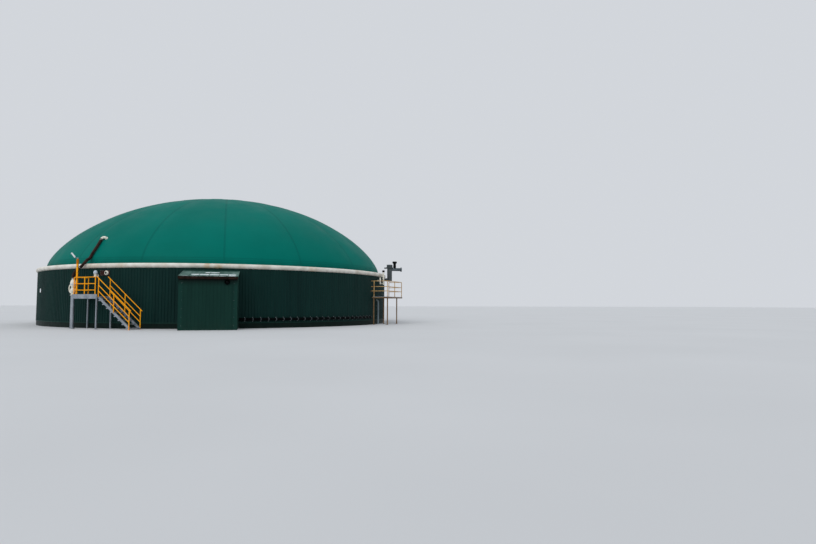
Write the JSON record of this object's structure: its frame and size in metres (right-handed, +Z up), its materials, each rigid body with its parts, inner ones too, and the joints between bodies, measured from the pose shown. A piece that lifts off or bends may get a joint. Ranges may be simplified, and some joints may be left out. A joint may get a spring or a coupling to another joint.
{
  "type": "biogas digester",
  "caption": "Round biogas digester with ribbed cladding, an air-supported membrane dome, a lean-to housing, service platforms, a stair and gas fittings.",
  "frame": {"origin": "the tank's axis at ground level, on the underside of the floor slab", "axes": "+Z up, -Y towards the lean-to housing, +X to the right when facing the housing"},
  "size_m": [25.9692, 27.24, 9.45],
  "materials": {
    "concrete": "rough cast concrete",
    "cladding": "dark green coated ribbed steel sheet, dusty",
    "cream_band": "cream sheeting with rain and rust stains",
    "membrane": "teal green coated fabric with welded seams, satin",
    "black_pipe": "black plastic pipe, dull",
    "roof_sheet": "weathered grey green sheet with thin snow",
    "black_plastic": "black, dull",
    "galvanised": "hot-dip galvanised, grey blue, dull",
    "yellow_paint": "safety yellow paint, weathered, rust spots",
    "sand_paint": "faded yellow paint, rusty",
    "cream_paint": "cream paint, slightly stained",
    "brown_paint": "dark brown paint, dull",
    "hose_rubber": "dark brown ribbed hose",
    "grey_pipe": "grey paint, weathered"
  },
  "bodies": {
    "root": {"floor_slab": "concrete", "tank_wall_1": "concrete", "tank_wall_2": "concrete", "tank_wall_3": "concrete", "tank_wall_4": "concrete", "cladding_1": "cladding", "cladding_2": "cladding", "cladding_3": "cladding", "cladding_4": "cladding", "clamp_band_1": "cream_band", "clamp_band_2": "cream_band", "clamp_band_3": "cream_band", "clamp_band_4": "cream_band", "dome_membrane": "membrane", "base_pipe": "black_pipe", "house_front": "cladding", "house_left": "cladding", "house_right": "cladding", "house_roof": "roof_sheet", "house_lamp": "black_plastic", "platform_deck": "galvanised", "platform_frame": "galvanised", "platform_rail": "yellow_paint", "stair_flight": "galvanised", "stair_rail_inner": "yellow_paint", "stair_rail_outer": "yellow_paint", "lamp_post": "yellow_paint", "floodlight": "cream_paint", "relief_column": "galvanised", "pressure_valve": "cream_paint", "air_hose": "hose_rubber", "hose_elbow": "cream_paint", "sight_plate": "brown_paint", "sight_glass": "cream_paint", "vent_valve": "cream_paint", "wall_plate": "cream_paint", "service_deck": "galvanised", "service_frame": "sand_paint", "service_rail": "sand_paint", "gas_riser": "grey_pipe", "mushroom_vent": "black_plastic", "side_valve": "cream_paint", "small_vent": "cream_paint", "drain_pipe": "grey_pipe"}
  },
  "joints": []
}
